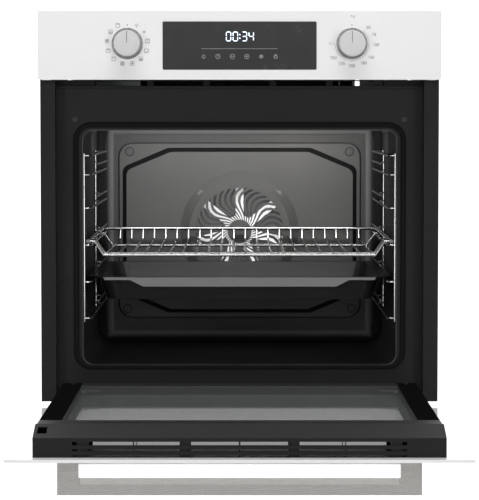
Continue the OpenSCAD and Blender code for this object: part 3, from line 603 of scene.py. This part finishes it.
# ---------------------------------------------------------------- strokes: digits and signs
DIGITS = {
    "0": [(arc(0.3, 0.5, 0.27, 0, 350, 20, 1.75), True)],
    "1": [([(0.12, 0.78), (0.36, 0.98), (0.36, 0.02)], False)],
    "2": [(arc(0.3, 0.72, 0.25, 165, -35, 10) + [(0.05, 0.03), (0.57, 0.03)], False)],
    "3": [(arc(0.28, 0.745, 0.23, 150, -85, 10) + arc(0.28, 0.265, 0.26, 85, -150, 10), False)],
    "4": [([(0.45, 0.02), (0.45, 0.98), (0.04, 0.3), (0.6, 0.3)], False)],
    "5": [([(0.54, 0.97), (0.13, 0.97), (0.09, 0.56)] + arc(0.29, 0.31, 0.28, 125, -150, 12), False)],
    "7": [([(0.05, 0.97), (0.57, 0.97), (0.24, 0.02)], False)],
    "8": [(arc(0.3, 0.75, 0.21, 0, 345, 16, 1.05), True), (arc(0.3, 0.26, 0.26, 0, 345, 16, 0.98), True)],
}


def number(text, x, z, height):
    """Strokes of a number centred on (x, z)."""
    pitch = 0.78 * height
    start = x - pitch * len(text) / 2 + 0.09 * height
    strokes = []
    for i, char in enumerate(text):
        for points, closed in DIGITS[char]:
            strokes.append(([(start + i * pitch + px * height, z - height / 2 + pz * height)
                             for px, pz in points], closed))
    return strokes


def moved(strokes, x, z, size):
    return [([(x + px * size, z + pz * size) for px, pz in points], closed) for points, closed in strokes]


BOX = (rounded_outline(1.0, 1.0, 0.14, 3), True)
TOP_BAR = ([(-0.32, 0.28), (0.32, 0.28)], False)
LOW_BAR = ([(-0.32, -0.28), (0.32, -0.28)], False)
TOP_ZIGZAG = ([(-0.32 + 0.16 * i, 0.3 - 0.12 * (i % 2)) for i in range(5)], False)
FAN = [([(0, 0)] + arc(0.17 * math.cos(a), 0.17 * math.sin(a), 0.09, math.degrees(a) - 120,
                       math.degrees(a) + 120, 6), True)
       for a in (math.radians(90), math.radians(210), math.radians(330))]
DROP = ([(0, 0.16)] + arc(0, -0.08, 0.13, 40, -220, 8), True)
LAMP_SIGN = [(arc(0, 0.1, 0.3, -60, 240, 12), False), ([(-0.12, -0.26), (0.12, -0.26)], False),
             ([(-0.1, -0.4), (0.1, -0.4)], False)]
FROST_SIGN = [([(0.42 * math.cos(a), 0.42 * math.sin(a)), (-0.42 * math.cos(a), -0.42 * math.sin(a))], False)
              for a in (math.radians(90), math.radians(30), math.radians(150))]
MODE_SIGNS = [
    LAMP_SIGN, FROST_SIGN, [BOX, TOP_BAR, LOW_BAR], [BOX, LOW_BAR], [BOX, LOW_BAR] + FAN,
    [BOX] + FAN, [BOX, TOP_BAR, LOW_BAR] + FAN, [BOX, TOP_ZIGZAG], [BOX, TOP_BAR, TOP_ZIGZAG],
    [BOX, TOP_ZIGZAG] + FAN, [BOX, LOW_BAR, DROP], [BOX, TOP_BAR],
]


def panel_print():
    """Signs round the mode knob, numbers and tick arc round the thermostat knob."""
    strokes = []
    pitch = 360 / (len(MODE_SIGNS) + 1)
    for i, sign in enumerate(MODE_SIGNS):
        a = math.radians(90 - pitch * (i + 1))
        size = 5.6
        strokes += moved(sign, -knob_x + 30 * math.cos(a), knob_z + 30 * math.sin(a), size)
    printed("mode_signs", strokes, 0.55, panel_y, printed_grey)
    dots = []
    for x in (-knob_x, knob_x):
        dots.append((arc(x, knob_z + 27.2, 0.45, 0, 330, 8), True))
    printed("zero_dots", dots, 0.9, panel_y, printed_grey)
    numbers = []
    marks = {"50": 43, "75": 66, "100": 93, "150": 128, "180": 151, "200": 180, "220": 205, "250": 230}
    for text, turn in marks.items():
        a = math.radians(90 - turn)
        numbers += number(text, knob_x + 35.5 * math.cos(a), knob_z + 32.5 * math.sin(a), 4.2)
    numbers += [(arc(knob_x + 3.4, knob_z + 39.2, 1.5, 50, 310, 10), False),
                (arc(knob_x - 0.6, knob_z + 40.6, 0.6, 0, 330, 8), True)]
    a = math.radians(180)
    numbers.append(([(knob_x - 33, knob_z - 1.6), (knob_x - 28.5, knob_z), (knob_x - 33, knob_z + 1.6)], True))
    printed("heat_numbers", numbers, 0.58, panel_y, printed_grey)
    ticks = []
    for turn in list(marks.values()) + [270]:
        a = math.radians(90 - turn)
        ticks.append(([(knob_x + r * math.cos(a), knob_z + r * math.sin(a)) for r in (25.2, 27.2)], False))
    ticks.append((arc(knob_x, knob_z, 24.8, 90 - 43, 90 - 270, 40), False))
    printed("heat_ticks", ticks, 0.36, panel_y, printed_grey)


SEGMENTS = {"0": "abcdef", "3": "abcdg", "4": "bcfg"}


def display_print():
    """Seven-segment clock, the line under it and six touch signs."""
    h, w = 13.0, 6.6
    mid = (window_low.z + window_high.z) / 2
    clock_z = mid + 13.5
    ends = {"a": ((0, 1), (1, 1)), "b": ((1, 1), (1, 0.5)), "c": ((1, 0.5), (1, 0)), "d": ((0, 0), (1, 0)),
            "e": ((0, 0.5), (0, 0)), "f": ((0, 1), (0, 0.5)), "g": ((0, 0.5), (1, 0.5))}
    strokes = []
    for char, x in zip("0034", (-19.5, -9.5, 3.8, 13.8)):
        for name in SEGMENTS[char]:
            (ax, az), (bx, bz) = ends[name]
            pull = 0.12
            p = [ax + (bx - ax) * pull, az + (bz - az) * pull]
            q = [bx - (bx - ax) * pull, bz - (bz - az) * pull]
            strokes.append(([(x + p[0] * w, clock_z - h / 2 + p[1] * h), (x + q[0] * w, clock_z - h / 2 + q[1] * h)],
                            False))
    for dz in (-2.6, 2.6):
        strokes.append((arc(0.4, clock_z + dz, 0.35, 0, 330, 8), True))
    printed("clock_digits", strokes, 1.25, panel_y, lit_digits)
    line_z = mid - 4.5
    printed("display_line", [([(-56, line_z), (56, line_z)], False)], 0.35, panel_y, printed_dim)
    ring = (arc(0, 0, 0.5, 0, 348, 28), True)
    bell = [([(-0.42, -0.28), (-0.3, -0.1)] + arc(0, 0.08, 0.3, 180, 0, 8) + [(0.3, -0.1), (0.42, -0.28)], True),
            (arc(0, -0.38, 0.08, 0, 330, 6), True)]
    clock = [ring, ([(0, 0.3), (0, 0), (0.22, -0.1)], False)]
    minus = [ring, ([(-0.26, 0), (0.26, 0)], False)]
    plus = minus + [([(0, -0.26), (0, 0.26)], False)]
    teeth = [([(r * math.cos(math.radians(a)), r * math.sin(math.radians(a))) for r in (0.34, 0.5)], False)
             for a in range(0, 360, 45)]
    gear = [(arc(0, 0, 0.32, 0, 345, 20), True), (arc(0, 0, 0.12, 0, 330, 8), True)] + teeth
    lock = [([(x, z - 0.14) for x, z in rounded_outline(0.7, 0.52, 0.08, 2)], True),
            ([(-0.22, 0.12)] + arc(0, 0.24, 0.22, 180, 0, 8) + [(0.22, 0.12)], False)]
    signs = []
    for i, sign in enumerate((bell, clock, minus, plus, gear, lock)):
        signs += moved(sign, (i - 2.5) * 21.2, line_z - 11.5, 6.4)
    printed("touch_signs", signs, 0.55, panel_y, printed_dim)


def knob_pointers():
    """Dark pointer line in each knob's groove."""
    for side, body in ((-1, "mode_cap"), (1, "heat_cap")):
        x = side * knob_x
        line = [(x, knob_low.y + 0.35, knob_z + 1), (x, knob_low.y + 0.35, knob_high.z - 1.6)]
        mesh = curve_mesh("pointer", [line], [False], 1.1, 1, 0.4)
        add_object("pointer_" + body, mesh, pointer_black, body)


def knob_grips():
    """Fine grip ribs round each knob's skirt."""
    count = 60
    r = (knob_high.x - knob_low.x) / 2 - 0.05
    for side, body in ((-1, "mode_cap"), (1, "heat_cap")):
        lines = []
        for i in range(count):
            a = 2 * math.pi * i / count
            x = side * knob_x + r * math.cos(a)
            z = knob_z + r * math.sin(a)
            lines.append([(x, knob_low.y + 2.2, z), (x, knob_low.y + 16, z)])
        mesh = curve_mesh("grip", lines, [False] * count, 0.5)
        add_object("grip_ribs_" + body, mesh, MATERIALS["knob_silver"], body)


def level_numbers():
    """Raised shelf level numbers on the left of the front frame."""
    strokes = []
    for text, z in zip("54321", (342, 289.7, 233.6, 178.7, 124.7)):
        strokes += number(text, -257.7, z, 7.5)
    printed("level_numbers", strokes, 1.1, face_y, embossed)


# ---------------------------------------------------------------- screws, ribs and plates
def cross_screw_mesh(r):
    """Pan-head screw with a cross recess, head on +z."""
    arm, half = r * 0.52, r * 0.13
    cross = []
    for turn in range(4):
        a = math.radians(90 * turn)
        for x, y in ((arm, -half), (arm, half), (half, half)):
            cross.append((x * math.cos(a) - y * math.sin(a), x * math.sin(a) + y * math.cos(a)))
    head = plate_mesh("head", arc(0, 0, r, 0, 350, 35), [cross], r * 0.42, r * 0.14)
    base = lathe("base", [(0, -0.1 * r), (r * 1.02, -0.1 * r), (r * 1.02, 0.06 * r), (0, 0.1 * r)])
    return joined("cross_screw", [(head, Matrix.Translation((0, 0, r * 0.24 * MM))), (base, Matrix.Identity(4))])


def screws(name, places, r, mat, body):
    """Cross-head screws at (x, y, z, direction) places."""
    screw = cross_screw_mesh(r)
    mesh = joined(name, [(screw, placed(x, y, z, d)) for x, y, z, d in places])
    smooth(mesh, 30)
    return add_object(name, mesh, mat, body)


def carcass_screws():
    x = side_high.x
    rows = []
    for s in (-1, 1):
        for y in (40, 200, 360, 505):
            rows.append((s * x, y, 556, (s, 0, 0)))
            rows.append((s * x, y, 14, (s, 0, 0)))
        for z in (60, 260, 440):
            rows.append((s * (x - 10), rear_high.y, z, (0, 1, 0)))
        for y in (30, 260, 500):
            rows.append((s * (x - 12), y, side_high.z, (0, 0, 1)))
    for px in (-150, 0, 150):
        rows.append((px, rear_high.y, 556, (0, 1, 0)))
        rows.append((px, rear_high.y, 18, (0, 1, 0)))
    for sx in (-1, 1):
        for sz in (-1, 1):
            rows.append((sx * 104, rear_high.y, 229 + sz * 76, (0, 1, 0)))
    screws("carcass_screws", rows, 3.6, MATERIALS["screw_steel"], "carcass")
    lid = span("terminal_box")
    places = [(x, lid[1].y, z, (0, 1, 0)) for x in (lid[0].x + 8, lid[1].x - 8) for z in (lid[0].z + 8, lid[1].z - 8)]
    places = [(x, y - 1.3, z, d) for x, y, z, d in places]
    screws("terminal_lid_screws", places, 2.6, MATERIALS["screw_steel"], "carcass")


def pressed_ribs():
    """Long stiffening beads pressed into the carcass sheets."""
    lines = []
    x = side_high.x - 0.3
    for s in (-1, 1):
        for z in (70, 180, 290, 400):
            lines.append([(s * x, 50, z), (s * x, 480, z)])
        lines.append([(s * x, 30, 40), (s * x, 30, 440)])
    for px in (-160, -60, 60, 160):
        lines.append([(px, 60, side_high.z - 0.3), (px, 395, side_high.z - 0.3)])
    for z in (60, 110, 350, 410):
        lines.append([(-230, rear_high.y - 0.3, z), (230, rear_high.y - 0.3, z)])
    mesh = curve_mesh("pressed_ribs", lines, [False] * len(lines), 3.4)
    add_object("pressed_ribs", mesh, MATERIALS["galvanised"], "carcass")


def rear_details():
    """Blank label, cable bush and hemmed edges at the back."""
    label = plate_mesh("blank_label", rounded_outline(110, 46, 3), [], 0.5, 0.1)
    label.transform(placed(120, rear_high.y + 0.15, 420, (0, 1, 0)))
    add_object("blank_label", label, label_film, "carcass")
    lid = span("terminal_box")
    bush = lathe("bush", [(6.2, 0), (9.5, 0), (9.5, 1.6), (8.2, 2.8), (6.6, 3.2), (6.2, 2.6), (6.2, 0)])
    bush.transform(placed(-205, 534, lid[0].z + 0.05, (0, 0, -1)))
    add_object("cable_bush", bush, MATERIALS["black_plastic"], "carcass")
    half = side_high.x - 1.5
    hem = [(-half, rear_high.y + 0.4, 3), (half, rear_high.y + 0.4, 3), (half, rear_high.y + 0.4, 567),
           (-half, rear_high.y + 0.4, 567)]
    mesh = curve_mesh("rear_hem", [hem], [True], 2.2)
    add_object("rear_hem", mesh, MATERIALS["galvanised"], "carcass")


# ---------------------------------------------------------------- mouth, racks and cavity
def mouth_seal():
    """Plaited oval seal in place of the plain ring."""
    mid_z = (gasket_low.z + gasket_high.z) / 2
    w = gasket_high.x - gasket_low.x - 8
    h = gasket_high.z - gasket_low.z - 8
    ring = [(x, (gasket_low.y + gasket_high.y) / 2 - 0.1, z + mid_z) for x, z in rounded_outline(w, h, 23, 10)]
    mesh = curve_mesh("mouth_seal", [ring], [True], 7.6, 1, 0.45)
    seal = add_object("mouth_seal", mesh, MATERIALS["seal_rubber"], "carcass")
    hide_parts("door_gasket")


def lens_ribs():
    """Moulded ribs under the lamp lens."""
    lines = []
    y0, y1 = lens_low.y + 5, lens_high.y - 5
    x = lens_low.x + 7
    while x < lens_high.x - 5:
        lines.append([(x, y0, lens_low.z + 0.5), (x, y1, lens_low.z + 0.5)])
        x += 6
    mesh = curve_mesh("lens_ribs", lines, [False] * len(lines), 1.4)
    add_object("lens_ribs", mesh, MATERIALS["lamp_glass"], "carcass")


# ---------------------------------------------------------------- door
def shade_strip():
    """Pale grey strip under the handle, between its posts: a sheet of painted shade for the grey band under the edge
    of the outer glass.
    """
    w = bar_high.x - bar_low.x - 56
    strip = plate_mesh("door_shade_strip", rounded_outline(w, 12, 1), [], 8.6, 0.4)
    strip.transform(Matrix.Translation(Vector((0, bar_high.y - 7, glass_low.z - 4.4)) * MM))
    add_object("door_shade_strip", strip, shade_strip_grey, "door")


def hole_plugs():
    """Dark plugs that close the cabinet screw holes in the flange until the oven is screwed in."""
    parts = []
    for sx in (-1, 1):
        for z, r in ((80, 2.6), (420, 2.6), (473, 1.4)):
            plug = lathe("plug", [(0, 0), (r, 0), (r, 1.3), (r + 0.6, 1.3), (r + 0.6, 1.6), (0, 1.6)], 24)
            parts.append((plug, placed(sx * (287.3 if r > 2 else 286.5), frame_low.y + 1.29, z, (0, -1, 0))))
    mesh = joined("hole_plugs", parts)
    smooth(mesh)
    add_object("hole_plugs", mesh, MATERIALS["black_enamel"], "carcass")


def painted_shadow_lines_and_edge_highlight():
    """Painted shadow lines: a dark arch at the catch mark and dark rings round the screws; a painted highlight round
    the mouth edge.
    """
    # painted shadow lines for the catch arch and the screw grooves
    catch = [(-261.5, 453.5)] + arc(-254, 461, 7.5, 180, 0, 14) + [(-246.5, 453.5)]
    printed("catch_painted_shadow", [(catch, False)], 1.3, face_y - 1.5, painted_groove_shadow_black)
    rings = [(arc(sx * 245.7, 420.4, 5.0, 0, 350, 24), True) for sx in (-1, 1)]
    printed("frame_screw_painted_shadows", rings, 0.9, face_y, painted_groove_shadow_black)
    rings = [(arc(x, z, 7.1, 0, 350, 28), True) for x, z in ((-186, 364.4), (186, 364.4), (-190, 98), (190, 98))]
    printed("cover_screw_painted_shadows", rings, 1.2, cover_high.y - 12, painted_groove_shadow_black)
    # painted highlight round the mouth edge
    mid_z = (gasket_low.z + gasket_high.z) / 2 - 2.5
    ring = [(x, z + mid_z) for x, z in rounded_outline(mouth_w, mouth_h, 15, 10)]
    printed("mouth_rim_highlight", [(ring, True)], 1.0, face_y + 2.2, rim_highlight_grey)


def pane_clips():
    """Corner clips that hold the panes, with a lip over the glass."""
    clip = plate_mesh("clip", [(0, 0), (26, 0), (26, 5), (6, 5), (6, 20), (0, 20)], [], 2.0, 0.4)
    parts = []
    for sx in (-1, 1):
        for sy, y in ((1, inner_low.y + 0.5), (-1, inner_high.y - 0.5)):
            x = inner_high.x - 0.5
            turn = Matrix.Diagonal((-sx, sy, 1, 1))
            parts.append((clip, Matrix.Translation(Vector((sx * x, y, inner_low.z - 3.2)) * MM) @ turn))
    mesh = joined("pane_clips", parts)
    mesh.validate()
    add_object("pane_clips", mesh, MATERIALS["black_plastic"], "door")


def door_screws():
    """Screws that close the door's side profiles and top profile."""
    places = []
    for s in (-1, 1):
        for y in (top_low.y + 22, top_high.y - 16):
            places.append((s * top_high.x, y, 5, (s, 0, 0)))
        for y in (-60, -200, -330):
            places.append((s * top_high.x, y, 10, (s, 0, 0)))
    screws("door_side_screws", places, 3.0, MATERIALS["black_plastic"], "door")


# ---------------------------------------------------------------- stage
def paper(name, glow):
    """Pale studio paper with faint clouds; the far sheet glows so that it stays white behind the part."""
    mat = finish_material(name, (0.93, 0.93, 0.93), 0.9, 0.0, 0.004, 0.02, 2.0)
    shader = mat.node_tree.nodes["Principled BSDF"]
    shader.inputs["Emission Color"].default_value = (1, 1, 1, 1)
    shader.inputs["Emission Strength"].default_value = glow
    return mat


def sheet(name, path, half_width, mat):
    """Curved sheet of studio paper that follows a path of (y, z) points."""
    bm = bmesh.new()
    rows = [[bm.verts.new((x, y, z)) for x in (-half_width, half_width)] for y, z in path]
    for a, b in zip(rows, rows[1:]):
        bm.faces.new((a[0], a[1], b[1], b[0]))
    mesh = bpy.data.meshes.new(name)
    bm.to_mesh(mesh)
    bm.free()
    mesh.shade_smooth()
    obj = bpy.data.objects.new(name, mesh)
    bpy.context.scene.collection.objects.link(obj)
    mesh.materials.append(mat)


def studio():
    scene = bpy.context.scene
    world = bpy.data.worlds.new("studio")
    scene.world = world
    world.use_nodes = True
    background = world.node_tree.nodes["Background"]
    background.inputs["Color"].default_value = (1, 1, 1, 1)
    background.inputs["Strength"].default_value = 0.22
    scene.view_settings.view_transform = "Standard"
    drop, start, back, radius, steps = -0.75, 2.2, 5.0, 2.0, 12
    sheet("floor_sheet", [(-9.0, drop), (start, drop)], 14.0, paper("floor_paper", 0.0))
    rise = [(back - radius + radius * math.sin(math.pi / 2 * i / steps),
             drop + radius - radius * math.cos(math.pi / 2 * i / steps)) for i in range(steps + 1)]
    sheet("back_sheet", [(start, drop)] + rise + [(back, 9.0)], 14.0, paper("back_paper", 0.85))


def soft_light(name, place, target, size, power, colour=(1, 1, 1)):
    data = bpy.data.lights.new(name, "AREA")
    data.shape = "RECTANGLE"
    data.size, data.size_y = size
    data.energy = power
    data.color = colour
    lamp = bpy.data.objects.new(name, data)
    lamp.location = place
    lamp.rotation_euler = (Vector(target) - Vector(place)).to_track_quat("-Z", "Y").to_euler()
    bpy.context.scene.collection.objects.link(lamp)
    return lamp


def lights():
    soft_light("front_left", (-2.2, -3.1, 0.5), (0, 0, 0.3), (1.0, 1.4), 24)
    soft_light("front_right", (2.2, -3.1, 0.5), (0, 0, 0.3), (1.0, 1.4), 26)
    soft_light("front_top", (0, -3.2, 1.45), (0, 0, 0.25), (1.8, 0.5), 19)
    soft_light("top", (0, -0.35, 2.4), (0, -0.3, 0), (1.6, 0.7), 54)
    soft_light("cavity_glow", (0, 0.27, 0.398), (0, 0.5, 0.27), (0.40, 0.04), 0.55)
    soft_light("fan_pocket", (0, cover_low.y * MM + 0.006, 0.230), (0, 0.6, 0.230), (0.14, 0.14), 0.07)


def camera():
    data = bpy.data.cameras.new("camera")
    cam = bpy.data.objects.new("camera", data)
    bpy.context.scene.collection.objects.link(cam)
    cam.location = (0, -3.0555, 0.4325)
    cam.rotation_euler = (math.radians(90 - 2.91), 0, 0)
    data.sensor_fit = "AUTO"
    data.sensor_width = 36
    data.lens = 148.2
    data.shift_x = -0.0002
    data.shift_y = -0.068
    data.clip_end = 100
    bpy.context.scene.camera = cam


dress_cad()
for node, width in EDGE_WIDTHS.items():
    bevelled(frame["nodes"][node], width)
panel_print()
display_print()
knob_pointers()
knob_grips()
level_numbers()
carcass_screws()
pressed_ribs()
rear_details()
mouth_seal()
lens_ribs()
shade_strip()
hole_plugs()
painted_shadow_lines_and_edge_highlight()
pane_clips()
door_screws()
studio()
lights()
camera()
